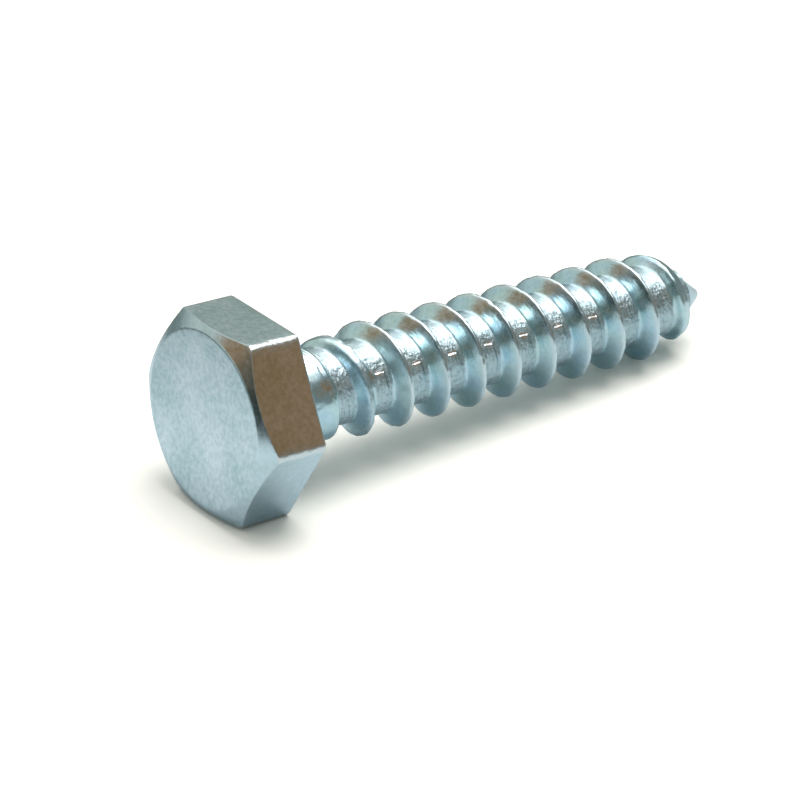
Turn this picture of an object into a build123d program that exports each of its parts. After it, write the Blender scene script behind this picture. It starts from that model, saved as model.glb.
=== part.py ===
from build123d import *

import os
from math import atan, atan2, cos, degrees, floor, radians, sin, tan

# Hex-head lag screw, a quarter inch by one and a quarter inches, with a coarse rolled wood thread of ten
# turns to the inch. It is one piece of zinc-plated steel: a cold-headed hexagon, a short plain neck, the
# thread and a stub point. All sizes are in millimetres.
#
# The screw is made upright on Z with its bearing face on the plane z = 0 and its point up, and is then laid
# down as it comes to rest: on one flat of the head and on the last full crest of the thread.

# Head
ACROSS_FLATS = 10.8
HEAD_HEIGHT = 3.8
HEAD_CORNER_RADIUS = 0.45
END_FACE_INSET = 0.35
HEAD_CHAMFER_ANGLE = 30.0

# Thread form, in a section through the axis
PITCH = 2.54
CREST_RADIUS = 3.16
THREAD_DEPTH = 0.96
CREST_LAND = 0.22
FLANK_ANGLE = 30.0
ROOT_CHAMFER = 0.28

# Neck, and the run-in where the thread starts
UNDER_HEAD_FILLET = 0.3
NECK_LENGTH = 4.9
CREST_RISE = 0.36
CREST_RUN_IN = 1.3
GROOVE_RUN_IN = 0.06
GROOVE_LEAD_RISE = 0.66

# Point, and the run-out where the thread ends
SHANK_LENGTH = 31.5
NOSE_RADIUS = 0.4
POINT_HALF_ANGLE = 34.0
POINT_BASE_RADIUS = 1.5
SHOULDER_LENGTH = 0.3
LAST_CREST_RISE = 0.8
CREST_TAPER_LENGTH = 2.5
ROOT_TAPER_SLOPE = 0.25

# The groove is cut with a section that reaches past the crests, until this is left between two turns of it
MOUTH_GAP = 0.02

# Sizes that follow from those above
end_face_radius = ACROSS_FLATS / 2 - END_FACE_INSET
neck_radius = CREST_RADIUS - CREST_RISE
root_radius = CREST_RADIUS - THREAD_DEPTH
flank_slope = tan(radians(FLANK_ANGLE))
half_root = (PITCH - CREST_LAND) / 2 - THREAD_DEPTH * flank_slope
half_mouth = (PITCH - MOUTH_GAP) / 2
mouth_radius = root_radius + (half_mouth - half_root) / flank_slope

# Heights above the bearing face
full_crest = NECK_LENGTH + CREST_RUN_IN
nose_centre = SHANK_LENGTH - NOSE_RADIUS
point_apex = nose_centre + NOSE_RADIUS / sin(radians(POINT_HALF_ANGLE))
point_base = point_apex - POINT_BASE_RADIUS / tan(radians(POINT_HALF_ANGLE))
shoulder = point_base - SHOULDER_LENGTH
crest_taper = shoulder - CREST_TAPER_LENGTH

# The thread turns right-handed from the side that lies down. There the groove is full depth at groove_start
# and, a whole number of turns on, starts to follow the point inwards at groove_taper.
groove_start = NECK_LENGTH + GROOVE_RUN_IN
full_turns = round((crest_taper - groove_start) / PITCH)
groove_taper = groove_start + full_turns * PITCH
groove_end = point_base + half_root

# The screw rests on the head's flat and on the last full crest, so its axis slopes down to the point.
last_crest_turn = floor((crest_taper - groove_start) / PITCH - 0.5) + 0.5
last_crest = groove_start + last_crest_turn * PITCH
rest_tilt = atan2(ACROSS_FLATS / 2 - CREST_RADIUS, last_crest)


def thread_groove(length, slope):
    """One stretch of the thread's groove, as a solid to cut away, climbing length millimetres from z = 0.

    Its root starts at the root radius on the X axis and opens outwards by slope millimetres a millimetre
    of climb. Its section is drawn in the plane through the axis, so that two stretches meet face to face.
    """
    cone_angle = degrees(atan(slope))
    slant_pitch = PITCH / cos(atan(slope))
    with BuildPart() as groove:
        with BuildLine() as root_line:
            Helix(slant_pitch, length, root_radius, cone_angle=cone_angle)
        with BuildLine() as axis_line:
            Line((0, 0, 0), (0, 0, length))
        with BuildSketch(Plane.XZ) as section:
            with BuildLine():
                Polyline(
                    (mouth_radius, -half_mouth),
                    (root_radius, -half_root),
                    (root_radius, half_root),
                    (mouth_radius, half_mouth),
                    close=True,
                )
            make_face()
            chamfer(section.vertices().group_by(Axis.X)[0], ROOT_CHAMFER)
        sweep(path=root_line.wires()[0], binormal=axis_line.wires()[0])
    return groove.part


with BuildPart() as screw:
    # Hexagon, with rounded corners and the end chamfered all round
    with BuildSketch(Plane.XY.offset(-HEAD_HEIGHT)):
        RegularPolygon(ACROSS_FLATS / 2, 6, major_radius=False, rotation=30)
    extrude(amount=HEAD_HEIGHT)
    fillet(screw.edges().filter_by(Axis.Z), HEAD_CORNER_RADIUS)
    with BuildSketch(Plane.XZ):
        with BuildLine():
            chamfer_rise = (ACROSS_FLATS - end_face_radius) * tan(radians(HEAD_CHAMFER_ANGLE))
            Polyline(
                (0, -HEAD_HEIGHT),
                (end_face_radius, -HEAD_HEIGHT),
                (ACROSS_FLATS, chamfer_rise - HEAD_HEIGHT),
                (ACROSS_FLATS, 0),
                (0, 0),
                close=True,
            )
        make_face()
    revolve(axis=Axis.Z, mode=Mode.INTERSECT)

    # Shank as it is before the groove is cut: neck, crest height, taper, shoulder and point. It is turned from
    # the plane YZ, so that its seam keeps clear of the groove's end faces.
    with BuildSketch(Plane.YZ):
        with BuildLine():
            neck_foot = neck_radius + UNDER_HEAD_FILLET
            Line((0, 0), (neck_foot, 0))
            CenterArc((neck_foot, UNDER_HEAD_FILLET), UNDER_HEAD_FILLET, 270, -90)
            nose = CenterArc((0, nose_centre), NOSE_RADIUS, POINT_HALF_ANGLE, 90 - POINT_HALF_ANGLE)
            Polyline(
                (neck_radius, UNDER_HEAD_FILLET),
                (neck_radius, NECK_LENGTH),
                (CREST_RADIUS, full_crest),
                (CREST_RADIUS, crest_taper),
                (POINT_BASE_RADIUS + LAST_CREST_RISE, shoulder),
                (POINT_BASE_RADIUS, point_base),
                nose @ 0,
            )
            Line(nose @ 1, (0, 0))
        make_face()
    revolve(axis=Axis.Z)

    # Groove: the full turns, the turn before them that sinks to full depth, made upside down, and the
    # stretch after them that follows the point
    with Locations((0, 0, groove_start)):
        add(thread_groove(full_turns * PITCH, 0), mode=Mode.SUBTRACT)
        add(thread_groove(PITCH, GROOVE_LEAD_RISE / PITCH), rotation=(180, 0, 0), mode=Mode.SUBTRACT)
    with Locations((0, 0, groove_taper)):
        add(thread_groove(groove_end - groove_taper, -ROOT_TAPER_SLOPE), mode=Mode.SUBTRACT)

# The screw at rest on the plane z = 0, its point towards +X, with the middle of its length over the origin.
# The down side of the upright screw, its X, is turned to face the floor.
back_reach = HEAD_HEIGHT * cos(rest_tilt) + end_face_radius * sin(rest_tilt)
front_reach = nose_centre * cos(rest_tilt) + NOSE_RADIUS
bearing_centre = ((back_reach - front_reach) / 2, 0, ACROSS_FLATS / 2 * cos(rest_tilt))
resting = Plane(
    bearing_centre,
    x_dir=(-sin(rest_tilt), 0, -cos(rest_tilt)),
    z_dir=(cos(rest_tilt), 0, -sin(rest_tilt)),
)
with BuildPart(resting) as lag_screw:
    add(screw.part)

os.makedirs("parts", exist_ok=True)
lag_screw.part.label = "lag_screw"
export_step(lag_screw.part, "parts/lag_screw.step")
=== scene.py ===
import logging
from dataclasses import dataclass, field, fields
from enum import Enum
from math import atan2, cos, degrees, pi, radians, sin, tan

import bpy
import numpy as np
from mathutils import Matrix, Vector


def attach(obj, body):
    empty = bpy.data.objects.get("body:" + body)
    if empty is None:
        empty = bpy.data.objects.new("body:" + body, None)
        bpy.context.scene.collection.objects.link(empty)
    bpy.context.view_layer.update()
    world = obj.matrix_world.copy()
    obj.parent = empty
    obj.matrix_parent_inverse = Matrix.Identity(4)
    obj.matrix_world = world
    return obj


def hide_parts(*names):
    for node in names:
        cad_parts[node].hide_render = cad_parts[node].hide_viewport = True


# A hex-head lag screw of zinc-plated steel, at rest on a pale floor. The screw's lengths are in millimetres
# and are turned into metres when its points are placed. The floor's are in metres.
#
# The screw is described in its own round coordinates. s runs along its axis, from the bearing face under the
# head towards the point. turn is the angle about the axis in whole turns, counted right-handed from the side
# that lies on the floor, so the thread climbs one pitch of s for each turn.

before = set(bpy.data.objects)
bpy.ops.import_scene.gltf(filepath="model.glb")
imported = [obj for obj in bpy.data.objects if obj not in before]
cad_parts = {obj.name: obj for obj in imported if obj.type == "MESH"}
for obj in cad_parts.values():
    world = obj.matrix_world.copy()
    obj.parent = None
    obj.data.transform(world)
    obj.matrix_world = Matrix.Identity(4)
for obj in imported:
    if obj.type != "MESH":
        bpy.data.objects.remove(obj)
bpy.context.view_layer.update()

log = logging.getLogger("lag_screw")

MM = 0.001
NODE = "lag_screw"

Colour = tuple[float, float, float, float]
Span = tuple[float, float]


class Layer(Enum):
    """The surface attributes that the finish reads, by the name that they carry in the mesh."""

    ROOT = "root"
    THREAD = "thread"
    CREST = "crest"
    EDGE = "edge"
    END_FACE = "end_face"
    LAY = "lay"


def smooth_step(low: float, high: float, x: np.ndarray) -> np.ndarray:
    """Rises from 0 at low to 1 at high with level ends: 3t^2 - 2t^3 of the clipped fraction t.

    Args:
        low: Where the step starts.
        high: Where the step ends; below low for a falling step.
        x: The positions.

    Returns:
        The step's value at each position.
    """
    t = np.clip((x - low) / (high - low), 0.0, 1.0)
    return t * t * (3.0 - 2.0 * t)


def smooth_max(a: np.ndarray, b: np.ndarray, blend: float) -> np.ndarray:
    """The larger of two surfaces, their corner rounded: (a + b + sqrt((a - b)^2 + blend^2)) / 2."""
    return 0.5 * (a + b + np.sqrt((a - b) ** 2 + blend**2))


def smooth_min(a: np.ndarray, b: np.ndarray, blend: float) -> np.ndarray:
    """The smaller of two surfaces, their corner rounded, as smooth_max turned upside down."""
    return -smooth_max(-a, -b, blend)


class Ripple:
    """A seeded sum of waves that repeats each turn, for the small unevenness of rolled and headed steel."""

    def __init__(self, seed: int, waves: int, around: int, along: float) -> None:
        """Draws the waves.

        Args:
            seed: The seed of the draw.
            waves: How many waves are added.
            around: The most ripples in a turn.
            along: The most ripples in a millimetre of s.
        """
        draw = np.random.default_rng(seed)
        self.around = draw.integers(-around, around + 1, waves)
        self.along = draw.uniform(-along, along, waves) * 2.0 * pi
        self.phase = draw.uniform(0.0, 2.0 * pi, waves)
        self.scale = 1.0 / np.sqrt(waves / 2.0)

    def at(self, s: np.ndarray, turn: np.ndarray) -> np.ndarray:
        """The sum of sin(around * angle + along * s + phase), scaled to a spread of about 1.

        Args:
            s: Heights along the axis.
            turn: Angles in turns.

        Returns:
            The unevenness at each place.
        """
        total = np.zeros(np.broadcast(s, turn).shape)
        for around, along, phase in zip(self.around, self.along, self.phase):
            total += np.sin(2.0 * pi * around * turn + along * s + phase)
        return total * self.scale


@dataclass
class Rings:
    """Rows of points round the screw, each row closed on itself, with what the finish reads at each point."""

    s: np.ndarray
    radius: np.ndarray
    turn: np.ndarray
    edge: np.ndarray
    end_face: np.ndarray


@dataclass
class Head:
    """The cold-headed hexagon: a dished end face, a chamfer all round, six flats and the bearing face.

    The corners between two flats are worn as far as the squared distance corner_wear, in sixths of a turn,
    where a row lies within wear_on_flats of the hexagon and at least wear_from_foot from the bearing face.
    """

    neck_foot: float
    across_flats: float = 10.8
    height: float = 3.8
    corner_radius: float = 0.45
    face_radius: float = 5.04
    chamfer_angle: float = 30.0
    dish: float = 0.05
    rim_round: float = 0.12
    shoulder_round: float = 0.014
    foot_round: float = 0.16
    shoulder_wear: float = 0.05
    corner_wear: float = 0.0035
    wear_on_flats: float = 0.02
    wear_from_foot: float = 0.05
    hump_end: float = 0.15
    face_start: float = 0.04
    columns: int = 132
    corner_columns: int = 7
    face_rows: int = 24
    round_rows: int = 7
    chamfer_rows: int = 3
    flat_rows: int = 9
    bearing_rows: int = 11

    def corner_centre(self) -> float:
        """How far from the axis a corner's circle has its centre."""
        return (self.across_flats / 2 - self.corner_radius) / cos(pi / 6)

    def corner_angle(self) -> float:
        """Half the angle, seen from the axis, that a corner's circle takes up."""
        return atan2(self.corner_radius / 2, self.corner_centre() + self.corner_radius * cos(pi / 6))

    def turns(self) -> np.ndarray:
        """Angles of the columns, in turns: closer together where they round each corner of the hexagon.

        Returns:
            One angle for each column, from the middle of the flat that lies down.
        """
        per_side = self.columns // 6
        half = self.corner_angle() / (2.0 * pi)
        steps = np.arange(self.columns)
        stops = np.array([0.0, 1 / 12 - half, 1 / 12 + half, 1 / 6])
        marks = np.array([0, self.corner_columns, per_side - self.corner_columns, per_side])
        return steps // per_side / 6 + np.interp(steps % per_side, marks, stops)

    def outline(self, turn: np.ndarray) -> np.ndarray:
        """The hexagon's radius: half the width across flats over the cosine from a flat, circles at corners.

        Args:
            turn: Angles in turns.

        Returns:
            The radius at each angle.
        """
        off = (turn * 6.0 + 0.5) % 1.0 - 0.5
        flat = self.across_flats / 2 / np.cos(off * pi / 3)
        reach = self.corner_centre()
        beta = (0.5 - np.abs(off)) * pi / 3
        inside = np.maximum(self.corner_radius**2 - (reach * np.sin(beta)) ** 2, 0.0)
        return np.where(beta < self.corner_angle(), reach * np.cos(beta) + np.sqrt(inside), flat)

    @staticmethod
    def bent(corner: np.ndarray, before: np.ndarray, after: np.ndarray, size: float,
             count: int) -> np.ndarray:
        """A corner of the section, rounded: the curve (1-t)^2 start + 2t(1-t) corner + t^2 end.

        Args:
            corner: The corner as (radius, s) for each column.
            before: The section's point before it.
            after: The section's point after it.
            size: How far from the corner the rounding starts and ends.
            count: How many rows the rounding gets.

        Returns:
            The rows of the rounding, as (row, column, 2).
        """
        back = before - corner
        ahead = after - corner
        start = corner + back / np.linalg.norm(back, axis=-1, keepdims=True) * size
        end = corner + ahead / np.linalg.norm(ahead, axis=-1, keepdims=True) * size
        t = np.linspace(0.0, 1.0, count)[:, None, None]
        return (1 - t) ** 2 * start + 2 * t * (1 - t) * corner + t**2 * end

    @staticmethod
    def between(first: np.ndarray, last: np.ndarray, count: int) -> np.ndarray:
        """Evenly spaced rows on the straight way from first to last, without either."""
        return first + (last - first) * np.linspace(0.0, 1.0, count + 2)[1:-1, None, None]

    def hump(self, count: int) -> np.ndarray:
        """A mark that is full in the middle of a rounding and faint at its ends, as a sine is."""
        return np.sin(np.linspace(self.hump_end, pi - self.hump_end, count))

    def rings(self) -> Rings:
        """Rows from near the middle of the end face out over its rim, the chamfer and the flats to the neck.

        Each row is one place of the section through the axis, taken at every column. Under the head the
        columns even out to equal angles, which the thread's rows have.

        Returns:
            The rows, with the edges and the end face marked.
        """
        turn = self.turns()
        outer = self.outline(turn)
        ones = np.ones_like(outer)
        centre = np.stack([0.0 * ones, -ones * self.height], -1)
        rim = np.stack([ones * self.face_radius, -ones * self.height], -1)
        slope = tan(radians(self.chamfer_angle))
        shoulder = np.stack([outer, (outer - self.face_radius) * slope - self.height], -1)
        foot = np.stack([outer, 0.0 * ones], -1)
        neck = np.stack([ones * self.neck_foot, 0.0 * ones], -1)
        rounded_rim = self.bent(rim, centre, shoulder, self.rim_round, self.round_rows)
        rounded_shoulder = self.bent(shoulder, rim, foot, self.shoulder_round, self.round_rows)
        rounded_foot = self.bent(foot, shoulder, neck, self.foot_round, self.round_rows + 1)
        fraction = np.linspace(self.face_start, 1.0, self.face_rows + 1)[:-1, None, None]
        to_neck = np.linspace(0.0, 1.0, self.bearing_rows + 1)[1:, None, None]
        section = np.concatenate([
            centre + (rounded_rim[0] - centre) * fraction,
            rounded_rim,
            self.between(rounded_rim[-1], rounded_shoulder[0], self.chamfer_rows),
            rounded_shoulder,
            self.between(rounded_shoulder[-1], rounded_foot[0], self.flat_rows),
            rounded_foot,
            rounded_foot[-1] + (neck - rounded_foot[-1]) * to_neck,
        ])
        wear = np.concatenate([
            np.zeros(self.face_rows + self.round_rows + self.chamfer_rows),
            self.shoulder_wear * self.hump(self.round_rows),
            np.zeros(self.flat_rows),
            self.hump(self.round_rows + 1),
            np.zeros(self.bearing_rows),
        ])
        radius, s = section[..., 0], section[..., 1].copy()
        inner = np.clip(radius / self.face_radius, 0.0, 1.0)
        face_end = self.face_rows + self.round_rows // 2
        on_face = (np.arange(len(section)) < face_end)[:, None] * np.ones_like(radius)
        s += self.dish * (1.0 - inner**2) * on_face
        under = slice(-self.bearing_rows - 1, None)
        turns = np.broadcast_to(turn, radius.shape).copy()
        ease = smooth_step(self.across_flats / 2, self.neck_foot, radius[under])
        turns[under] += (np.arange(self.columns) / self.columns - turn) * ease
        corner = np.maximum(0.0, 1.0 - ((turn * 6.0) % 1.0 - 0.5) ** 2 / self.corner_wear)
        on_flats = (radius > outer - self.wear_on_flats) & (s < -self.wear_from_foot)
        edge = np.maximum(wear[:, None] * ones, corner * on_flats)
        return Rings(s, radius, turns, edge, on_face)


@dataclass
class Shank:
    """Neck, rolled thread and point, as one radius that depends on s and on the turn.

    Each span is the pair of places between which something fades in or out. Most are heights along the axis.
    Those across are distances from the groove's centre, fold_cut is how deep the groove is cut, and those of
    lead_shift and lead_widening are turns along the thread from groove_start.
    """

    pitch: float = 2.54
    crest_radius: float = 3.16
    root_radius: float = 2.2
    crest_land: float = 0.14
    flank_angle: float = 30.0
    root_round: float = 0.09
    crest_round: float = 0.04
    neck_radius: float = 2.8
    neck_waist: float = 0.22
    waist_s: float = 0.95
    fillet: float = 0.4
    crest_rise: Span = (4.2, 6.5)
    groove_start: float = 4.96
    lead_rise: float = 0.5
    lead_shift: float = 0.12
    lead_shift_span: Span = (0.1, -0.4)
    lead_widening: float = 0.2
    lead_widening_in: Span = (-0.1, 0.3)
    lead_widening_out: Span = (1.1, 0.6)
    lead_round: float = 0.02
    lead_round_out: Span = (6.2, 4.6)
    end_drift: float = 0.25
    drift_in: Span = (25.4, 28.6)
    drift_out: Span = (30.3, 29.3)
    crest_taper: float = 26.8
    taper_slope: float = 0.344
    root_taper_slope: float = 0.25
    taper_round: float = 0.06
    shoulder: float = 29.44
    shoulder_radius: float = 2.3
    shoulder_slope: float = 2.7
    shoulder_round: float = 0.12
    point_base: float = 29.59
    point_base_radius: float = 1.5
    point_half_angle: float = 34.0
    nose_radius: float = 0.4
    length: float = 31.5
    rolled_relief: float = 0.006
    root_relief: float = 0.009
    crest_relief: float = 0.014
    root_across: Span = (0.62, 0.4)
    crest_across: Span = (1.1, 1.2)
    fold_cut: Span = (-0.1, 0.1)
    fold_depth: float = 0.02
    fold_width: float = 0.035
    uneven_in: Span = (0.8, 2.6)
    uneven_out: Span = (30.6, 29.0)
    fold_out: Span = (29.7, 29.2)

    def nose_start(self) -> float:
        """The height at which the cone runs into the round nose."""
        return self.length - self.nose_radius + self.nose_radius * sin(radians(self.point_half_angle))

    def envelope(self, s: np.ndarray) -> np.ndarray:
        """The turned shape before the groove: neck, rise to the crests, taper, shoulder, cone and nose.

        The neck has a bell-shaped waist, and a quarter circle as the fillet under the head. The nose is a
        circle round a point on the axis.

        Args:
            s: Heights along the axis.

        Returns:
            The radius of the crests at each height.
        """
        neck = self.neck_radius - self.neck_waist * np.exp(-(((s - self.waist_s) / self.waist_s) ** 2))
        into = np.clip(self.fillet - s, 0.0, self.fillet)
        neck = neck + self.fillet - np.sqrt(self.fillet**2 - into**2)
        rise = smooth_step(*self.crest_rise, s)
        body = neck + (self.crest_radius - self.neck_radius) * rise
        body = body - self.taper_slope * np.clip(s - self.crest_taper, 0.0, None)
        cone = self.point_base_radius - (s - self.point_base) * tan(radians(self.point_half_angle))
        drop = self.shoulder_radius - (s - self.shoulder) * self.shoulder_slope
        turned = smooth_min(body, smooth_max(drop, cone, self.shoulder_round), self.taper_round)
        into_nose = np.clip(s - self.length + self.nose_radius, 0.0, self.nose_radius)
        nose = np.sqrt(self.nose_radius**2 - into_nose**2)
        return np.where(s > self.nose_start(), nose, turned)

    def drift(self, s: np.ndarray) -> np.ndarray:
        """How far ahead the thread runs as it fades out: end_drift, eased in, and eased out at the point.

        Args:
            s: Heights along the axis, as the steady thread would have them.

        Returns:
            What is added to each height.
        """
        return self.end_drift * smooth_step(*self.drift_in, s) * smooth_step(*self.drift_out, s)

    def groove(self, s: np.ndarray, turn: np.ndarray) -> tuple[np.ndarray, np.ndarray]:
        """The groove: a flat root with rounded corners between flanks that open at a steady slope.

        Its centre climbs one pitch a turn. Before groove_start the root rises out of the neck with the cube
        of the turns, and its further flank stands nearer. In the turn after groove_start its nearer flank
        stands back, and past crest_taper the root follows the point inwards.

        Args:
            s: Heights along the axis.
            turn: Angles in turns.

        Returns:
            The groove's radius, and the distance across from its centre.
        """
        wound = (s - self.groove_start) / self.pitch - turn
        centre_turn = np.round(wound) + turn
        across = (wound - np.round(wound)) * self.pitch
        flank_slope = 1.0 / tan(radians(self.flank_angle))
        depth = self.crest_radius - self.root_radius
        half_root = (self.pitch - self.crest_land) / 2 - depth / flank_slope
        root = self.root_radius + self.lead_rise * np.clip(-centre_turn, 0.0, None) ** 3
        near_s = s - np.clip(across, 0.0, None)
        root = root - self.root_taper_slope * np.clip(near_s - self.crest_taper, 0.0, None)
        nearer = self.lead_shift * smooth_step(*self.lead_shift_span, centre_turn) * (across > 0)
        back = self.lead_widening * smooth_step(*self.lead_widening_in, centre_turn)
        back = back * smooth_step(*self.lead_widening_out, centre_turn) * (across < 0)
        flank = root + (np.abs(across) + nearer - back - half_root) * flank_slope
        return smooth_max(root, flank, self.root_round), across

    def radius(self, s: np.ndarray, turn: np.ndarray) -> np.ndarray:
        """The finished radius: the envelope or the groove, whichever is nearer the axis, and its unevenness.

        Slow waves run all over, quick ones over the roots and, only inwards, over the crests. A fine fold,
        bell-shaped in section, runs along the middle of each crest, where the rolled steel met.

        Args:
            s: Heights along the axis.
            turn: Angles in turns.

        Returns:
            The radius at each place.
        """
        cut, across = self.groove(s, turn)
        aside = np.abs(across)
        outer = self.envelope(s + self.drift(s))
        rounding = self.crest_round + self.lead_round * smooth_step(*self.lead_round_out, s)
        bare = smooth_min(outer, cut, rounding)
        slow = Ripple(seed=11, waves=14, around=23, along=0.9).at(s, turn)
        quick = Ripple(seed=12, waves=18, around=61, along=2.1).at(s, turn)
        on_root = smooth_step(*self.root_across, aside)
        on_crest = smooth_step(*self.crest_across, aside)
        uneven = self.rolled_relief * slow + self.root_relief * quick * on_root
        uneven = uneven - self.crest_relief * np.abs(quick) * on_crest
        fold = np.exp(-(((aside - self.pitch / 2) / self.fold_width) ** 2)) * on_crest
        fold = fold * smooth_step(*self.fold_cut, outer - cut) * smooth_step(*self.fold_out, s)
        faded = smooth_step(*self.uneven_in, s) * smooth_step(*self.uneven_out, s)
        return bare + uneven * faded - self.fold_depth * fold


@dataclass
class ScrewAxis:
    """Where the screw lies: its axis slopes down from the bearing face to the point.

    The slope and the bearing face follow from the screw resting on a flat of its head and on its last full
    crest, as the model's solids do.
    """

    flat: float
    crest_radius: float
    tip: float
    last_crest: float = 26.55
    bearing_x: float = -13.5894
    lean: float = 0.18
    lean_from: float = 29.3
    tilt: float = field(init=False)
    bearing: Vector = field(init=False)
    along: Vector = field(init=False)
    up: Vector = field(init=False)
    near: Vector = field(init=False)

    def __post_init__(self) -> None:
        """Works out the tilt, the three directions and the centre of the bearing face."""
        self.tilt = atan2(self.flat - self.crest_radius, self.last_crest)
        self.along = Vector((cos(self.tilt), 0.0, -sin(self.tilt)))
        self.up = Vector((sin(self.tilt), 0.0, cos(self.tilt)))
        self.near = Vector((0.0, -1.0, 0.0))
        self.bearing = Vector((self.bearing_x, 0.0, self.flat * cos(self.tilt)))

    def place(self, s: np.ndarray, radius: np.ndarray, turn: np.ndarray) -> np.ndarray:
        """Points in the row's frame, in metres: bearing + s * along + radius * (a direction that turns).

        The point leans down, eased in from lean_from to the tip.

        Args:
            s: Heights along the axis.
            radius: Distances from the axis.
            turn: Angles in turns, from the side that lies down.

        Returns:
            An array of points, one row each.
        """
        angle = 2.0 * pi * turn + pi
        upward = radius * np.cos(angle) - self.lean * smooth_step(self.lean_from, self.tip, s)
        sideways = radius * np.sin(angle)
        points = (
            np.array(self.bearing)
            + s[..., None] * np.array(self.along)
            + upward[..., None] * np.array(self.up)
            + sideways[..., None] * np.array(self.near)
        )
        return points * MM


@dataclass
class Sheet:
    """A table of points with one more column than the screw has, so that each row shows where it closes.

    number holds each point's number, s its height and turn its angle. strip holds, for the faces above each
    row, which turn of the groove they belong to, or no number where the rows are plain.
    """

    number: np.ndarray
    s: np.ndarray
    turn: np.ndarray
    strip: np.ndarray


@dataclass(frozen=True)
class MarkSpans:
    """Between which places each mark of the finish fades in or out, in millimetres.

    The spans across are distances from the groove's centre, root_cut is how deep the groove is cut, and the
    others are heights along the axis. At root_ends and crest_end the marks stop short. The land is the wide
    first crest of the run-in, which is scuffed nearly as a root is, by land_share.
    """

    thread_in: Span = (1.3, 2.2)
    thread_out: Span = (30.6, 29.6)
    root_across: Span = (0.64, 0.46)
    root_cut: Span = (-0.07, 0.07)
    root_ends: Span = (1.0, 29.7)
    land_across: Span = (0.92, 1.05)
    land_in: Span = (4.2, 4.6)
    land_out: Span = (7.0, 6.0)
    land_share: float = 0.9
    crest_across: Span = (1.05, 1.15)
    crest_in: Span = (5.8, 6.6)
    crest_end: float = 29.5


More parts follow.
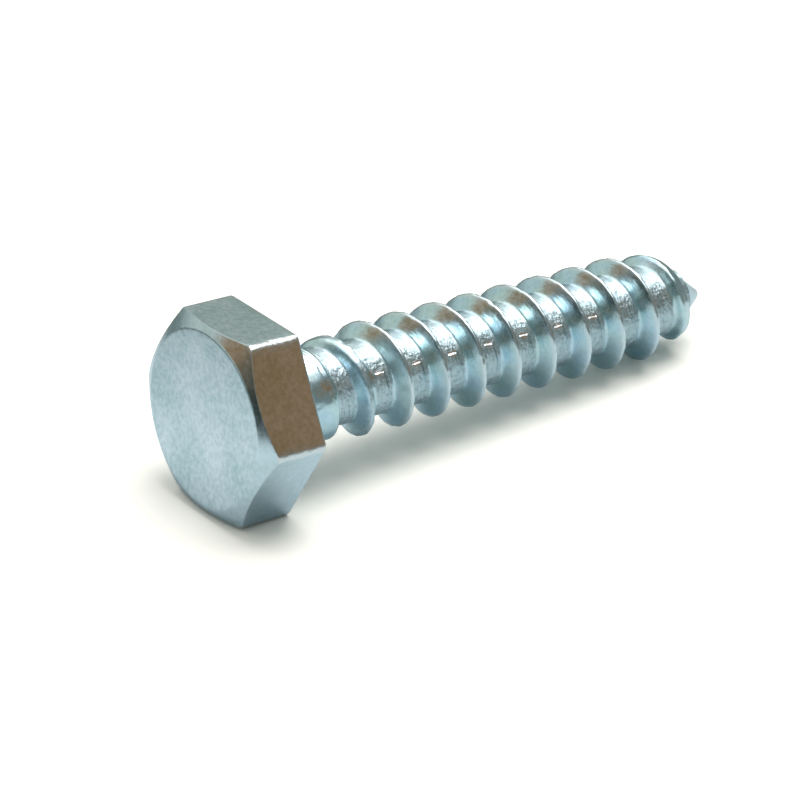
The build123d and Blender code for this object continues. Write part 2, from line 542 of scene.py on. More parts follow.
@dataclass
class LagScrew:
    """The whole screw as one closed surface.

    The head and the point are rows that close on themselves. The thread's rows wind along its helix, so that
    they follow the crests and the roots. They join the plain rows in a fan: one turn in which as many rows as
    a pitch has spread out from a single point of a plain row, or close up to one. half_rows are the places of
    the wound rows, in millimetres from the root's centre to the crest's. There are as many turns of them as
    winds says, and the first fan starts fan_start pitches before the groove.
    """

    shank: Shank = field(default_factory=Shank)
    spans: MarkSpans = field(default_factory=MarkSpans)
    half_rows: tuple[float, ...] = (
        0.0, 0.12, 0.24, 0.35, 0.43, 0.49, 0.54, 0.58, 0.62, 0.67, 0.73, 0.81, 0.89, 0.97, 1.04, 1.09, 1.125,
        1.15, 1.17, 1.2, 1.235, 1.27,
    )
    winds: int = 10
    fan_start: float = 1.5
    fillet_rows: int = 7
    neck_rows: int = 8
    taper_rows: int = 19
    cone_rows: int = 10
    cone_start: float = 0.1
    nose_rows: int = 8
    head: Head = field(init=False)
    axis: ScrewAxis = field(init=False)

    def __post_init__(self) -> None:
        """Makes the head, which ends where the fillet to the neck starts, and lays the screw down."""
        self.head = Head(neck_foot=float(self.shank.envelope(np.zeros(1))[0]))
        self.axis = ScrewAxis(self.head.across_flats / 2, self.shank.crest_radius, self.shank.length)

    def build(self, finish: bpy.types.Material) -> bpy.types.Object:
        """Joins head, neck, thread and point into one mesh with its lay and its marks, and dresses it.

        Args:
            finish: The material that the screw gets.

        Returns:
            The new object.
        """
        head = self.head.rings()
        sheet = self.sheet(head)
        shank = self.shank_rings(sheet, len(head.s))
        rings = Rings(*(np.concatenate([getattr(head, part.name), getattr(shank, part.name)])
                        for part in fields(Rings)))
        points = self.axis.place(rings.s + self.shank.drift(rings.s), rings.radius, rings.turn).reshape(-1, 3)
        ends = np.array([self.head.dish - self.head.height, self.shank.length])
        poles = self.axis.place(ends, np.zeros(2), np.zeros(2))
        return self.write(np.concatenate([points, poles]), self.marks(rings), sheet, finish)

    def sheet(self, head: Rings) -> Sheet:
        """Numbers the points row by row from the end face's pole to the tip.

        A wound row's last column is, one turn on, the first column of the row a whole pitch above it. The
        first fan's rows start in one point of the last plain row of the neck and end where the wound rows
        start. The last fan's rows start as wound rows and end in one point of the first plain row.

        Args:
            head: The head's rows.

        Returns:
            The table.
        """
        shank = self.shank
        n = self.head.columns
        half = np.array(self.half_rows)
        share = (np.concatenate([-half[::-1], half[1:]]) + shank.pitch / 2) / shank.pitch
        per_pitch = len(share) - 1
        turn = np.arange(n + 1) / n
        first_s = shank.groove_start - self.fan_start * shank.pitch
        last_s = first_s + self.winds * shank.pitch
        cone_s = shank.point_base + self.cone_start
        half_angle = radians(shank.point_half_angle)
        neck_s = np.concatenate([
            shank.fillet * (1.0 - np.cos(np.linspace(0.0, pi / 2, self.fillet_rows + 1)[1:])),
            np.linspace(shank.fillet, first_s, self.neck_rows + 1)[1:],
        ])
        around_nose = np.linspace(half_angle, pi / 2, self.nose_rows + 1)[:-1]
        tip_s = np.concatenate([
            np.linspace(last_s + shank.pitch, cone_s, self.taper_rows),
            np.linspace(cone_s, shank.nose_start(), self.cone_rows + 2)[1:-1],
            shank.length - shank.nose_radius + shank.nose_radius * np.sin(around_nose),
        ])
        wound = np.concatenate([k + share[:-1] for k in range(self.winds)] + [[self.winds]])
        climb = shank.pitch * turn
        fan = share[1:-1, None] * shank.pitch
        level = np.ones(n + 1)
        parts = [
            head.s[:, :1] * level,
            neck_s[:, None] * level,
            first_s + fan * turn,
            first_s + shank.pitch * wound[:, None] + climb,
            last_s + climb + fan * (1.0 - turn),
            tip_s[:, None] * level,
        ]
        s = np.concatenate(parts)
        fan_row, wound_row, last_fan_row, tip_row = np.cumsum([len(rows) for rows in parts])[1:5]
        neck_row = fan_row - 1

        number = np.arange(len(s) * n).reshape(-1, n)
        closing = number[:, 0].copy()
        above = np.minimum(np.arange(wound_row, tip_row) + per_pitch, tip_row)
        closing[wound_row:tip_row] = number[above, 0]
        closing[fan_row:wound_row] = number[wound_row + 1:wound_row + per_pitch, 0]
        closing[last_fan_row:tip_row] = number[tip_row, 0]
        number = np.concatenate([number, closing[:, None]], 1)
        number[fan_row:wound_row + 1, 0] = number[neck_row, 0]

        strip = np.full(len(s), np.nan)
        strip[neck_row:wound_row] = -2
        strip[wound_row:last_fan_row - 1] = np.arange(last_fan_row - 1 - wound_row) // per_pitch - 1
        strip[last_fan_row - 1:tip_row] = self.winds - 1
        return Sheet(number, s, np.broadcast_to(turn, s.shape), strip)

    def shank_rings(self, sheet: Sheet, head_rows: int) -> Rings:
        """The shank's own points: its rows without the closing column.

        Args:
            sheet: The table of points.
            head_rows: How many of its rows the head has.

        Returns:
            The rows, with no edge and no end face marked.
        """
        s = sheet.s[head_rows:, :-1]
        turn = sheet.turn[head_rows:, :-1]
        radius = self.shank.radius(s, turn)
        return Rings(s, radius, turn, np.zeros_like(s), np.zeros_like(s))

    def marks(self, rings: Rings) -> dict[Layer, np.ndarray]:
        """The marks that the finish reads at each point, for the thread, roots, crests, edges and end face.

        The thread's, the roots' and the crests' are products of steps over their spans, and a root also needs
        the groove to cut into the turned shape. The other two come with the rows.

        Args:
            rings: All rows of the screw.

        Returns:
            One array for each mark, the two poles last in each.
        """
        s = rings.s
        spans = self.spans
        cut, across = self.shank.groove(s, rings.turn)
        aside = np.abs(across)
        depth = self.shank.envelope(s + self.shank.drift(s)) - cut
        land = smooth_step(*spans.land_across, aside) * smooth_step(*spans.land_in, s)
        land = spans.land_share * land * smooth_step(*spans.land_out, s)
        root = smooth_step(*spans.root_across, aside) * smooth_step(*spans.root_cut, depth)
        root = root * (s > spans.root_ends[0]) * (s < spans.root_ends[1])
        crest = smooth_step(*spans.crest_across, aside) * smooth_step(*spans.crest_in, s)
        made = {
            Layer.ROOT: np.maximum(root, land),
            Layer.THREAD: smooth_step(*spans.thread_in, s) * smooth_step(*spans.thread_out, s),
            Layer.CREST: crest * (s < spans.crest_end),
            Layer.EDGE: rings.edge,
            Layer.END_FACE: rings.end_face,
        }
        poles = {layer: (float(layer is Layer.END_FACE), 0.0) for layer in made}
        return {layer: np.append(values.ravel(), poles[layer]) for layer, values in made.items()}

    @staticmethod
    def around(table: np.ndarray) -> np.ndarray:
        """What a table of points says at the four corners of each face, in turn."""
        return np.stack([table[:-1, :-1], table[:-1, 1:], table[1:, 1:], table[1:, :-1]], -1)

    def write(self, points: np.ndarray, marks: dict[Layer, np.ndarray], sheet: Sheet,
              finish: bpy.types.Material) -> bpy.types.Object:
        """Makes the mesh: a face between each two neighbouring rows and columns, less corners that coincide.

        The lay of a corner is how many turns the groove has wound up to it and how far it lies across from
        the groove's centre. On the plain rows it is the angle in turns and the height.

        Args:
            points: All points, the two poles last.
            marks: The attributes of the points.
            sheet: The table of points.
            finish: The material.

        Returns:
            The object, at the origin.
        """
        count = len(points)
        width = sheet.number.shape[1]
        first_pole = np.full((1, width), count - 2)
        last_pole = np.full((1, width), count - 1)
        number = np.concatenate([first_pole, sheet.number, last_pole])
        heights = np.concatenate([sheet.s[:1], sheet.s, sheet.s[-1:]])
        strip = np.concatenate([[np.nan], sheet.strip])[:, None, None]
        turn = np.broadcast_to(np.arange(width) / (width - 1), number.shape)
        corner = self.around(number)
        height = self.around(heights)
        wound = self.around(turn) + np.nan_to_num(strip)
        across = height - self.shank.groove_start - self.shank.pitch * wound
        lay = np.stack([wound, np.where(np.isnan(strip), height, across)], -1)
        keep = corner != np.roll(corner, -1, -1)
        sides = keep.sum(-1).ravel()
        used, loops = np.unique(corner[keep], return_inverse=True)

        mesh = bpy.data.meshes.new(NODE + "_body")
        mesh.vertices.add(len(used))
        mesh.vertices.foreach_set("co", points[used].astype(np.float32).ravel())
        mesh.loops.add(len(loops))
        mesh.loops.foreach_set("vertex_index", loops.astype(np.int32))
        mesh.polygons.add(len(sides))
        mesh.polygons.foreach_set("loop_start", (np.cumsum(sides) - sides).astype(np.int32))
        winding = mesh.uv_layers.new(name=Layer.LAY.value)
        winding.uv.foreach_set("vector", lay[keep].astype(np.float32).ravel())
        for layer, values in marks.items():
            mark = mesh.attributes.new(layer.value, "FLOAT", "POINT")
            mark.data.foreach_set("value", values[used].astype(np.float32))
        mesh.update(calc_edges=True)
        mesh.validate()
        mesh.shade_smooth()
        mesh.materials.append(finish)
        screw = bpy.data.objects.new(NODE + "_dressed", mesh)
        bpy.context.scene.collection.objects.link(screw)
        return screw


class Wiring:
    """Adds nodes to a tree, with their sockets filled from values or from other nodes."""

    def __init__(self, tree: bpy.types.NodeTree) -> None:
        """Empties the tree that the nodes go into."""
        self.tree = tree
        tree.nodes.clear()

    def add(self, kind: str, sockets: dict | None = None, **settings: object) -> bpy.types.Node:
        """Adds one node.

        Args:
            kind: The node's type name.
            sockets: Input sockets by name or number, each with a value or another node's output.
            settings: The node's own settings.

        Returns:
            The node.
        """
        node = self.tree.nodes.new(kind)
        for name, value in settings.items():
            setattr(node, name, value)
        for name, value in (sockets or {}).items():
            if isinstance(value, bpy.types.NodeSocket):
                self.tree.links.new(value, node.inputs[name])
            else:
                node.inputs[name].default_value = value
        return node

    def math(self, operation: str, *values: object) -> bpy.types.NodeSocket:
        """The result of a Math node on the values."""
        return self.add("ShaderNodeMath", dict(enumerate(values)), operation=operation).outputs[0]

    def ramp(self, value: object, low: float, high: float, start: float = 0.0,
             end: float = 1.0) -> bpy.types.NodeSocket:
        """Maps low..high to start..end with level ends."""
        sockets = {"Value": value, "From Min": low, "From Max": high, "To Min": start, "To Max": end}
        return self.add("ShaderNodeMapRange", sockets, interpolation_type="SMOOTHSTEP").outputs[0]

    def mix(self, factor: object, first: object, second: object, blend: str = "MIX") -> bpy.types.NodeSocket:
        """Mixes two colours."""
        sockets = {0: factor, 6: first, 7: second}
        return self.add("ShaderNodeMix", sockets, data_type="RGBA", blend_type=blend).outputs[2]

    def dot(self, first: object, second: object) -> bpy.types.NodeSocket:
        """The dot product of two vectors."""
        sockets = {0: first, 1: second}
        return self.add("ShaderNodeVectorMath", sockets, operation="DOT_PRODUCT").outputs["Value"]

    def noise(self, place: object, scale: object, detail: float, rough: float = 0.5) -> bpy.types.NodeSocket:
        """The grey value of a noise pattern."""
        sockets = {"Vector": place, "Scale": scale, "Detail": detail, "Roughness": rough}
        return self.add("ShaderNodeTexNoise", sockets).outputs[0]


class SteelEffects:
    """The node groups that the screw's finish is made of, each built once.

    Each span says where a mask starts and where it is full. Those of noises are grey values, and RUBBED is
    of the edge mark with BREAK_SHARE of a noise added. Those of the seam and its scuffs are turns along the
    thread, but SEAM_RISE and SEAM_GLINT are shares of its Width and SEAM_WITHIN is a share of its Reach.
    """

    VECTORS = ("Place", "Lay")
    PATCHES: Span = (0.34, 0.68)
    SPECKLES: Span = (0.36, 0.64)
    TINTS: Span = (0.38, 0.62)
    PITS: Span = (0.52, 0.64)
    RUBBED: Span = (0.9, 1.35)
    BREAK_SHARE = 0.8
    SEAM_BEND = 0.008
    SEAM_IN: Span = (-0.1, 0.1)
    SEAM_OUT: Span = (0.2, -0.1)
    SEAM_WITHIN: Span = (1.15, 0.85)
    SEAM_RISE: Span = (-0.5, 0.5)
    SEAM_FALL: Span = (0.12, 0.02)
    # Span of the seam's line, which the finish paints bright as a highlight.
    SEAM_GLINT: Span = (1.1, 0.7)
    SCUFFS_IN: Span = (-0.09, -0.03)
    SCUFFS_OUT: Span = (0.13, 0.03)

    @classmethod
    def group(cls, name: str, inputs: tuple[str, ...],
              outputs: tuple[str, ...]) -> tuple[Wiring, bpy.types.NodeOutputs]:
        """An empty group with its sockets. Those named in VECTORS are vectors, and the others are numbers.

        Args:
            name: The group's name.
            inputs: Names of the input sockets.
            outputs: Names of the output sockets.

        Returns:
            The group's wiring, and its inputs as they are seen from inside.
        """
        tree = bpy.data.node_groups.new(name, "ShaderNodeTree")
        for names, side in ((inputs, "INPUT"), (outputs, "OUTPUT")):
            for socket in names:
                kind = "NodeSocketVector" if socket in cls.VECTORS else "NodeSocketFloat"
                tree.interface.new_socket(socket, in_out=side, socket_type=kind)
        wiring = Wiring(tree)
        return wiring, wiring.add("NodeGroupInput").outputs

    @staticmethod
    def stretched(wiring: Wiring, lay: object, along: object, across: object,
                  shift: float) -> bpy.types.NodeSocket:
        """Where a noise is read that is drawn out along the thread.

        Args:
            wiring: The group's wiring.
            lay: The lay, in turns and millimetres.
            along: Ripples in a turn.
            across: Ripples in a millimetre.
            shift: A third coordinate, which sets two noises apart.

        Returns:
            The place as a vector.
        """
        parts = wiring.add("ShaderNodeSeparateXYZ", {"Vector": lay})
        turns = wiring.math("MULTIPLY", parts.outputs[0], along)
        aside = wiring.math("MULTIPLY", parts.outputs[1], across)
        return wiring.add("ShaderNodeCombineXYZ", {0: turns, 1: aside, 2: shift}).outputs[0]

    @classmethod
    def mottle(cls) -> bpy.types.NodeTree:
        """What lies all over the plate, each a noise at its own scale. The patches have a fine speckle added.

        Returns:
            The group, which puts out patches and a slow change of tint as masks, a fine grain, and dents.
        """
        scales = ("Patch Scale", "Speckle Scale", "Tint Scale", "Grain Scale", "Dent Scale")
        wiring, given = cls.group("plate_mottle", ("Place", *scales), ("Patches", "Tint", "Grain", "Dents"))
        place = given["Place"]
        patch = wiring.noise(place, given["Patch Scale"], 5.0, 0.6)
        speckle = wiring.noise(place, given["Speckle Scale"], 3.0, 0.65)
        speckled = wiring.ramp(speckle, *cls.SPECKLES, 0.0, 0.5)
        patches = wiring.math("ADD", wiring.ramp(patch, *cls.PATCHES, 0.0, 0.5), speckled)
        tint = wiring.ramp(wiring.noise(place, given["Tint Scale"], 2.0), *cls.TINTS)
        grain = wiring.noise(place, given["Grain Scale"], 3.0, 0.6)
        dents = wiring.noise(place, given["Dent Scale"], 5.0, 0.65)
        wiring.add("NodeGroupOutput", {"Patches": patches, "Tint": tint, "Grain": grain, "Dents": dents})
        return wiring.tree

    @classmethod
    def streaks(cls) -> bpy.types.NodeTree:
        """Marks left along the thread by the rolling dies, as noises that are drawn out along it.

        Returns:
            The group, which puts out long streaks, short scuffs, and pits as a mask.
        """
        scales = ("Streaks Along", "Streaks Across", "Scuffs Along", "Scuffs Across")
        wiring, given = cls.group("rolling_streaks", ("Lay", *scales), ("Streaks", "Scuffs", "Pits"))
        long = cls.stretched(wiring, given["Lay"], given["Streaks Along"], given["Streaks Across"], 0.0)
        short = cls.stretched(wiring, given["Lay"], given["Scuffs Along"], given["Scuffs Across"], 7.0)
        wiring.add("NodeGroupOutput", {
            "Streaks": wiring.noise(long, 1.0, 2.0, 0.5),
            "Scuffs": wiring.noise(short, 1.0, 2.0, 0.55),
            "Pits": wiring.ramp(wiring.noise(short, 0.9, 3.0, 0.7), *cls.PITS),
        })
        return wiring.tree

    @classmethod
    def seam(cls) -> bpy.types.NodeTree:
        """The step where the two dies met: once a turn the root rises over Width and falls again slowly.

        It lies across the root as far as Reach to each side, on as many turns as Turns says, and is bent a
        little by a noise.

        Returns:
            The group, which puts out the step's height, the line along it that the finish paints bright as a
            highlight, and the scuffs round it.
        """
        sizes = ("Turn", "Turns", "Width", "Reach")
        wiring, given = cls.group("die_seam", ("Lay", *sizes), ("Step", "Glint", "Scuffed"))
        parts = wiring.add("ShaderNodeSeparateXYZ", {"Vector": given["Lay"]})
        waver = wiring.noise(given["Lay"], 3.0, 2.0)
        bent = wiring.math("MULTIPLY_ADD", waver, cls.SEAM_BEND, parts.outputs[0])
        start = wiring.math("ADD", given["Turn"], cls.SEAM_BEND / 2)
        past = wiring.math("SUBTRACT", wiring.math("FRACT", bent), start)
        off = wiring.math("DIVIDE", past, given["Width"])
        aside = wiring.math("DIVIDE", wiring.math("ABSOLUTE", parts.outputs[1]), given["Reach"])
        faded = wiring.ramp(wiring.math("SUBTRACT", bent, given["Turns"]), *cls.SEAM_OUT)
        marked = wiring.math("MULTIPLY", wiring.ramp(bent, *cls.SEAM_IN), faded)
        within = wiring.math("MULTIPLY", wiring.ramp(aside, *cls.SEAM_WITHIN), marked)
        rise = wiring.math("MULTIPLY", wiring.ramp(off, *cls.SEAM_RISE), wiring.ramp(past, *cls.SEAM_FALL))
        # The line along the step, which the finish paints bright as a highlight on the seam's ridge.
        line = wiring.ramp(wiring.math("ABSOLUTE", off), *cls.SEAM_GLINT)
        near = wiring.ramp(past, *cls.SCUFFS_IN)
        scuffed = wiring.math("MULTIPLY", near, wiring.ramp(past, *cls.SCUFFS_OUT))
        wiring.add("NodeGroupOutput", {
            "Step": wiring.math("MULTIPLY", rise, within),
            "Glint": wiring.math("MULTIPLY", line, within),
            "Scuffed": scuffed,
        })
        return wiring.tree

    @classmethod
    def wear(cls) -> bpy.types.NodeTree:
        """Rubbed edges: the edge mark, broken up by a noise.

        Returns:
            The group, which puts out how far the edge is rubbed bright.
        """
        wiring, given = cls.group("rubbed_edges", ("Place", "Edge", "Break Scale"), ("Rubbed",))
        breaks = wiring.noise(given["Place"], given["Break Scale"], 4.0, 0.6)
        spread = wiring.math("ADD", given["Edge"], wiring.math("MULTIPLY", breaks, cls.BREAK_SHARE))
        wiring.add("NodeGroupOutput", {"Rubbed": wiring.ramp(spread, *cls.RUBBED)})
        return wiring.tree


@dataclass(frozen=True)
class Patterns:
    """The sockets that the finish is mixed from: the screw's own marks, and what each effect puts out.

    The die seam's line where it crosses a root is painted bright as a highlight, and bare_root is the root's
    mark without that line.
    """

    mark: dict[Layer, bpy.types.NodeSocket]
    mottle: bpy.types.NodeOutputs
    streaks: bpy.types.NodeOutputs
    seam: bpy.types.NodeOutputs
    rubbed: bpy.types.NodeSocket
    clean: bpy.types.NodeSocket
    bare_root: bpy.types.NodeSocket


@dataclass(frozen=True)
class ZincPlate:
    """Bright zinc with a faint blue passivate over rolled and headed steel.

    Scales say how many ripples a noise has in a metre, along the thread in a turn and across it in a
    millimetre. Each relief says how many times relief_unit, in metres, its pattern stands out. The roughness
    goes from smooth to matt as patches and grain together pass over roughness_span.
    """

    light: Colour = (0.68, 0.775, 0.825, 1.0)
    dark: Colour = (0.52, 0.645, 0.665, 1.0)
    face_light: Colour = (0.77, 0.84, 0.89, 1.0)
    face_dark: Colour = (0.45, 0.59, 0.61, 1.0)
    green_tint: Colour = (0.99, 1.06, 1.02, 1.0)
    blue_tint: Colour = (0.93, 1.04, 1.11, 1.0)
    pitted: Colour = (0.30, 0.36, 0.37, 1.0)
    bright: Colour = (0.76, 0.79, 0.79, 1.0)
    root_untinted: float = 0.8
    crest_rub: float = 0.5
    root_pitted: float = 0.18
    pits_more: float = 0.6
    smooth: float = 0.22
    matt: float = 0.27
    root_matt: float = 0.16
    grain_share: float = 0.4
    roughness_span: Span = (0.15, 0.85)
    patch_scale: float = 330.0
    speckle_scale: float = 3400.0
    tint_scale: float = 540.0
    grain_scale: float = 9000.0
    dent_scale: float = 1500.0
    break_scale: float = 1400.0
    streaks_along: float = 12.0
    streaks_across: float = 6.0
    scuffs_along: float = 62.0
    scuffs_across: float = 6.5
    seam_turn: float = 0.664
    seam_turns: float = 7.0
    seam_width: float = 0.011
    seam_reach: float = 0.3
    relief_unit: float = 0.00002
    root_streaks: float = 0.8
    thread_streaks: float = 0.2
    root_scuffs: float = 0.3
    seam_scuffs: float = 1.2
    streak_relief: float = 2.5
    scuff_relief: float = 2.4
    step_relief: float = 2.6
    dent_relief: float = 1.2
    nick_relief: float = 5.0
    grain_relief: float = 0.12

    def material(self) -> bpy.types.Material:
        """The finish as a material that reads the screw's own place, lay and marks.

        Returns:
            The material.
        """
        made = bpy.data.materials.new("zinc_plated_steel")
        made.use_nodes = True
        wiring = Wiring(made.node_tree)
        found = self.patterns(wiring)
        height = self.height(wiring, found)
        bump = wiring.add("ShaderNodeBump", {"Height": height, "Strength": 1.0, "Distance": self.relief_unit})
        shader = wiring.add("ShaderNodeBsdfPrincipled", {
            "Base Color": self.colour(wiring, found),
            "Metallic": 1.0,
            "Roughness": self.roughness(wiring, found),
            "Normal": bump.outputs[0],
        })
        wiring.add("ShaderNodeOutputMaterial", {"Surface": shader.outputs[0]})
        return made

    def patterns(self, wiring: Wiring) -> Patterns:
        """Places the effects in the material, with this finish's values.

        Args:
            wiring: The material's wiring.

        Returns:
            What the finish is mixed from.
        """
        place = wiring.add("ShaderNodeTexCoord").outputs["Object"]
        lay = wiring.add("ShaderNodeUVMap", uv_map=Layer.LAY.value).outputs[0]
        mark = {layer: wiring.add("ShaderNodeAttribute", attribute_name=layer.value).outputs["Fac"]
                for layer in Layer if layer is not Layer.LAY}
        mottle = wiring.add("ShaderNodeGroup", {
            "Place": place,
            "Patch Scale": self.patch_scale,
            "Speckle Scale": self.speckle_scale,
            "Tint Scale": self.tint_scale,
            "Grain Scale": self.grain_scale,
            "Dent Scale": self.dent_scale,
        }, node_tree=SteelEffects.mottle())
        streaks = wiring.add("ShaderNodeGroup", {
            "Lay": lay,
            "Streaks Along": self.streaks_along,
            "Streaks Across": self.streaks_across,
            "Scuffs Along": self.scuffs_along,
            "Scuffs Across": self.scuffs_across,
        }, node_tree=SteelEffects.streaks())
        seam = wiring.add("ShaderNodeGroup", {
            "Lay": lay,
            "Turn": self.seam_turn,
            "Turns": self.seam_turns,
            "Width": self.seam_width,
            "Reach": self.seam_reach,
        }, node_tree=SteelEffects.seam())
        wear = wiring.add("ShaderNodeGroup", {
            "Place": place,
            "Edge": mark[Layer.EDGE],
            "Break Scale": self.break_scale,
        }, node_tree=SteelEffects.wear())
        # The die seam's line over the roots, which is painted bright as a highlight.
        clean = wiring.math("MULTIPLY", seam.outputs["Glint"], mark[Layer.ROOT])
        bare_root = wiring.math("SUBTRACT", mark[Layer.ROOT], clean)
        return Patterns(mark, mottle.outputs, streaks.outputs, seam.outputs, wear.outputs["Rubbed"], clean,
                        bare_root)

    def colour(self, wiring: Wiring, found: Patterns) -> bpy.types.NodeSocket:
        """The plate from dark to light in its patches, tinted on the flanks, rubbed bright, with a painted
        highlight on the die seam's line, and pitted dark.

        Args:
            wiring: The material's wiring.
            found: What the finish is mixed from.

        Returns:
            The colour.
        """
        mark = found.mark
        patches = found.mottle["Patches"]
        plate = wiring.mix(patches, self.dark, self.light)
        stained = wiring.mix(patches, self.face_dark, self.face_light)
        plate = wiring.mix(mark[Layer.END_FACE], plate, stained)
        tint = wiring.mix(found.mottle["Tint"], self.green_tint, self.blue_tint)
        flanks = wiring.math("MULTIPLY_ADD", mark[Layer.ROOT], -self.root_untinted, mark[Layer.THREAD])
        tinted = wiring.mix(flanks, plate, tint, "MULTIPLY")
        crests = wiring.math("MULTIPLY", mark[Layer.CREST], self.crest_rub)
        # Rubbed edges and crests are wear; the seam's line is mixed in too, as a painted highlight.
        wear_and_glint = wiring.math("MAXIMUM", wiring.math("MAXIMUM", found.rubbed, crests), found.clean)
        pits = wiring.math("MULTIPLY_ADD", found.streaks["Pits"], self.pits_more, self.root_pitted)
        pits = wiring.math("MULTIPLY", pits, found.bare_root)
        return wiring.mix(pits, wiring.mix(wear_and_glint, tinted, self.bright), self.pitted)

    def roughness(self, wiring: Wiring, found: Patterns) -> bpy.types.NodeSocket:
        """From smooth to matt with the patches and, less, the grain, and rougher in the roots.

        Args:
            wiring: The material's wiring.
            found: What the finish is mixed from.

        Returns:
            The roughness.
        """
        blotch = wiring.math("MULTIPLY", found.mottle["Patches"], 1.0 - self.grain_share)
        grainy = wiring.math("MULTIPLY_ADD", found.mottle["Grain"], self.grain_share, blotch)
        rough = wiring.ramp(grainy, *self.roughness_span, self.smooth, self.matt)
        return wiring.math("MULTIPLY_ADD", found.bare_root, self.root_matt, rough)

    def height(self, wiring: Wiring, found: Patterns) -> bpy.types.NodeSocket:
        """The sum of each pattern times where it lies times how far it stands out.

        Args:
            wiring: The material's wiring.
            found: What the finish is mixed from.

        Returns:
            The height for the bump, in relief units.
        """
        mark = found.mark
        streaks = wiring.math("SUBTRACT", found.streaks["Streaks"], 0.5)
        on_thread = wiring.math("MULTIPLY", mark[Layer.THREAD], self.thread_streaks)
        streaked = wiring.math("MULTIPLY_ADD", found.bare_root, self.root_streaks, on_thread)
        scuffs = wiring.math("SUBTRACT", found.streaks["Scuffs"], 0.5)
        rubbing = wiring.math("MULTIPLY_ADD", found.seam["Scuffed"], self.seam_scuffs, self.root_scuffs)
        scuffed = wiring.math("MULTIPLY", rubbing, found.bare_root)
        dents = wiring.math("SUBTRACT", found.mottle["Dents"], 0.5)
        height = wiring.math("MULTIPLY", found.mottle["Grain"], self.grain_relief)
        for pattern, where, relief in (
            (streaks, streaked, self.streak_relief),
            (scuffs, scuffed, self.scuff_relief),
            (found.seam["Step"], mark[Layer.ROOT], self.step_relief),
            (dents, mark[Layer.END_FACE], self.dent_relief),
            (dents, mark[Layer.EDGE], self.nick_relief),
        ):
            height = wiring.math("MULTIPLY_ADD", wiring.math("MULTIPLY", pattern, where), relief, height)
        return height


@dataclass(frozen=True)
class Reflector:
    """A round patch of the studio's surroundings, seen in the metal.

    Its angles are in degrees. fade is how wide its soft edge is, with half_angle in the middle of it.
    """

    direction: tuple[float, float, float]
    half_angle: float
    fade: float
    colour: Colour


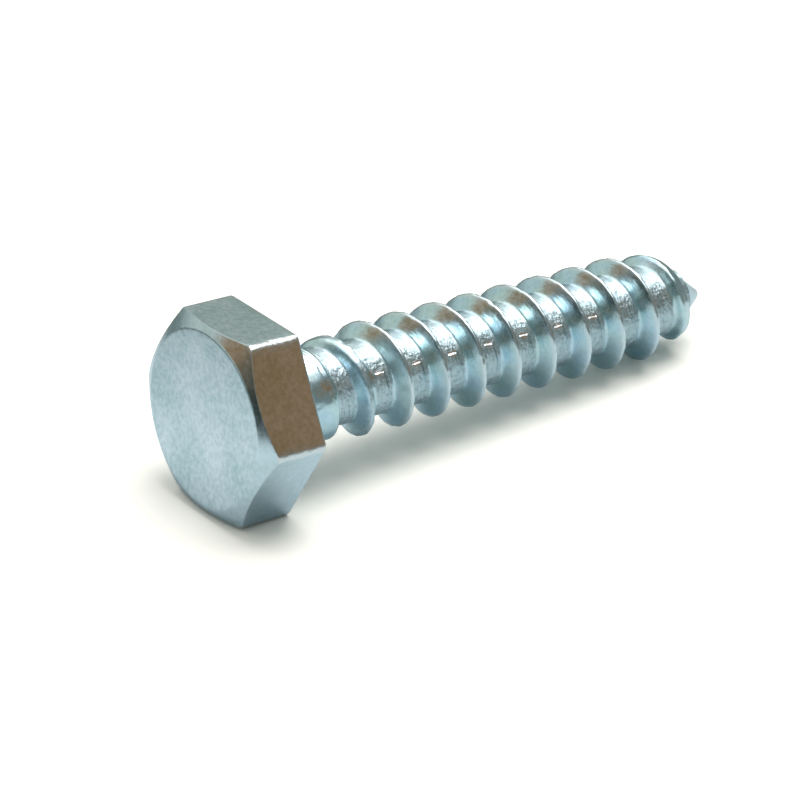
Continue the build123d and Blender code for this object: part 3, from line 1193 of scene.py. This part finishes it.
@dataclass
class Studio:
    """A pale floor under soft light, and the camera.

    The floor's sizes are in metres and angles are in degrees. bearing_seen says where the camera has the
    middle of the bearing face: how many millimetres to its right, above it and ahead of it.
    """

    floor_size: float = 3.0
    floor_seen: Colour = (1.22, 1.18, 1.10, 1.0)
    floor_colour: Colour = (0.67, 0.745, 0.77, 1.0)
    # Painted shade: the floor's darker colour far away, which only the metal mirrors.
    floor_far_shade: Colour = (0.16, 0.19, 0.19, 1.0)
    fade_from: float = 0.022
    fade_to: float = 0.065
    # Painted reflections: a pale patch and a dark patch on the floor, which only the metal mirrors.
    pale_mirrored_patch: Colour = (0.80, 0.88, 0.92, 1.0)
    dark_mirrored_patch: Colour = (0.02, 0.025, 0.02, 1.0)
    pale_from: float = 0.027
    dark_from: float = 0.047
    mirrored_patch_edge: float = 0.010
    mirrored_patch_blur: float = 0.004
    surroundings: Colour = (0.19, 0.235, 0.235, 1.0)
    reflectors: tuple[Reflector, ...] = (
        Reflector((0.60, 0.70, 0.38), 24.0, 14.0, (0.33, 0.38, 0.34, 1.0)),
        Reflector((-0.63, 0.70, 0.33), 28.0, 14.0, (0.61, 0.68, 0.64, 1.0)),
        Reflector((0.60, -0.72, 0.35), 15.0, 8.0, (0.300, 0.158, 0.065, 1.0)),
        Reflector((-0.99, -0.10, 0.08), 20.0, 12.0, (0.02, 0.03, 0.025, 1.0)),
        Reflector((-0.93, 0.16, 0.34), 10.0, 8.0, (0.13, 0.095, 0.06, 1.0)),
        Reflector((-0.81, 0.43, 0.40), 10.5, 6.0, (0.33, 0.155, 0.045, 1.0)),
    )
    ceiling: Colour = (1.34, 1.34, 1.34, 1.0)
    ceiling_light: Colour = (0.95, 0.95, 0.95, 1.0)
    ceiling_middle: tuple[float, float, float] = (0.0, 0.15, 0.99)
    ceiling_from: float = 0.64
    ceiling_full: float = 0.72
    sun_direction: tuple[float, float, float] = (0.28, 0.03, 0.96)
    sun_angle: float = 44.0
    sun_strength: float = 1.67
    elevation: float = 28.186
    yaw: float = 36.929
    roll: float = 0.357
    bearing_seen: tuple[float, float, float] = (-7.613, -0.203, 222.226)
    lens: float = 183.592
    sensor: float = 36.0

    def build(self, axis: ScrewAxis) -> None:
        """Makes the floor, the world, the lamp and the camera.

        Args:
            axis: Where the screw lies, which the camera is placed by.
        """
        self.floor()
        self.world()
        self.lamp()
        self.camera(axis)

    def floor(self) -> None:
        """A square floor at z = 0, white to the camera.

        In the metal it is duller and has painted shade that darkens it with the distance, and a pale patch
        and a dark one are painted on it as reflections that only the metal shows.
        """
        half = self.floor_size / 2
        corners = [(-half, -half, 0), (half, -half, 0), (half, half, 0), (-half, half, 0)]
        mesh = bpy.data.meshes.new("floor")
        mesh.from_pydata(corners, [], [(0, 1, 2, 3)])
        made = bpy.data.materials.new("pale_floor")
        made.use_nodes = True
        wiring = Wiring(made.node_tree)
        seen = wiring.add("ShaderNodeLightPath").outputs["Is Camera Ray"]
        place = wiring.add("ShaderNodeTexCoord").outputs["Object"]
        away = wiring.add("ShaderNodeVectorMath", {0: place}, operation="LENGTH").outputs["Value"]
        # Painted shade: away from the screw the floor darkens, in what the metal mirrors only.
        far = wiring.ramp(away, self.fade_from, self.fade_to)
        colour = wiring.mix(far, self.floor_colour, self.floor_far_shade)
        parts = wiring.add("ShaderNodeSeparateXYZ", {"Vector": place})
        # Painted reflections: pale and dark patches beside the head, hidden from the camera, for the metal to
        # mirror.
        blur = self.mirrored_patch_blur
        beside = wiring.ramp(parts.outputs[1], self.mirrored_patch_edge + blur, self.mirrored_patch_edge - blur)
        for start, mirrored_patch in ((self.pale_from, self.pale_mirrored_patch), (self.dark_from, self.dark_mirrored_patch)):
            beyond = wiring.ramp(parts.outputs[0], -start, -start - blur)
            colour = wiring.mix(wiring.math("MULTIPLY", beyond, beside), colour, mirrored_patch)
        colour = wiring.mix(seen, colour, self.floor_seen)
        diffuse = wiring.add("ShaderNodeBsdfDiffuse", {"Color": colour})
        wiring.add("ShaderNodeOutputMaterial", {"Surface": diffuse.outputs[0]})
        mesh.materials.append(made)
        floor = bpy.data.objects.new("floor", mesh)
        bpy.context.scene.collection.objects.link(floor)

    def world(self) -> None:
        """White for the camera. Else dim surroundings and reflectors under a ceiling, brightest in the metal.

        A patch covers the directions whose cosine with its own is high enough.
        """
        world = bpy.data.worlds.new("studio")
        bpy.context.scene.world = world
        world.use_nodes = True
        wiring = Wiring(world.node_tree)
        toward = wiring.add("ShaderNodeTexCoord").outputs["Generated"]
        colour = self.surroundings
        for patch in self.reflectors:
            direction = Vector(patch.direction).normalized()
            inner = cos(radians(patch.half_angle - patch.fade / 2))
            outer = cos(radians(patch.half_angle + patch.fade / 2))
            mask = wiring.ramp(wiring.dot(toward, tuple(direction)), outer, inner)
            colour = wiring.mix(mask, colour, patch.colour)
        above = wiring.ramp(wiring.dot(toward, self.ceiling_middle), self.ceiling_from, self.ceiling_full)
        path = wiring.add("ShaderNodeLightPath")
        ceiling = wiring.mix(path.outputs["Is Glossy Ray"], self.ceiling_light, self.ceiling)
        colour = wiring.mix(above, colour, ceiling)
        colour = wiring.mix(path.outputs["Is Camera Ray"], colour, (1.0, 1.0, 1.0, 1.0))
        back = wiring.add("ShaderNodeBackground", {"Color": colour, "Strength": 1.0})
        wiring.add("ShaderNodeOutputWorld", {"Surface": back.outputs[0]})

    def lamp(self) -> None:
        """One broad soft sun from above."""
        data = bpy.data.lights.new("soft_sun", "SUN")
        data.energy = self.sun_strength
        data.angle = radians(self.sun_angle)
        sun = bpy.data.objects.new("soft_sun", data)
        sun.matrix_world = Vector(self.sun_direction).to_track_quat("Z", "Y").to_matrix().to_4x4()
        bpy.context.scene.collection.objects.link(sun)

    def camera(self, axis: ScrewAxis) -> None:
        """A long lens that looks down at the screw from the side of its head.

        Args:
            axis: Where the screw lies.
        """
        low = radians(self.elevation)
        side = radians(self.yaw)
        right = Vector((cos(side), -sin(side), 0.0))
        level = Vector((sin(side), cos(side), 0.0))
        forward = level * cos(low) - Vector((0.0, 0.0, sin(low)))
        up = level * sin(low) + Vector((0.0, 0.0, cos(low)))
        aside, above, ahead = self.bearing_seen
        place = axis.bearing - right * aside - up * above - forward * ahead
        turned = radians(self.roll)
        across = right * cos(turned) - up * sin(turned)
        upright = right * sin(turned) + up * cos(turned)
        data = bpy.data.cameras.new("camera")
        data.lens = self.lens
        data.sensor_width = self.sensor
        data.clip_start = 0.01
        camera = bpy.data.objects.new("camera", data)
        rotation = Matrix((across, upright, -forward)).transposed().to_4x4()
        camera.matrix_world = Matrix.Translation(place * MM) @ rotation
        bpy.context.scene.collection.objects.link(camera)
        bpy.context.scene.camera = camera


def main() -> None:
    """Builds the dressed screw and the studio round it, and notes the screw's face count and tilt."""
    logging.basicConfig(level=logging.INFO, format="%(name)s: %(message)s")
    bpy.context.scene.view_settings.view_transform = "Standard"
    screw = LagScrew()
    Studio().build(screw.axis)
    piece = screw.build(ZincPlate().material())
    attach(piece, "root")
    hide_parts(NODE)
    log.info("screw: %d faces, tilt %.3f degrees", len(piece.data.polygons), degrees(screw.axis.tilt))


if __name__ == "__main__":
    main()
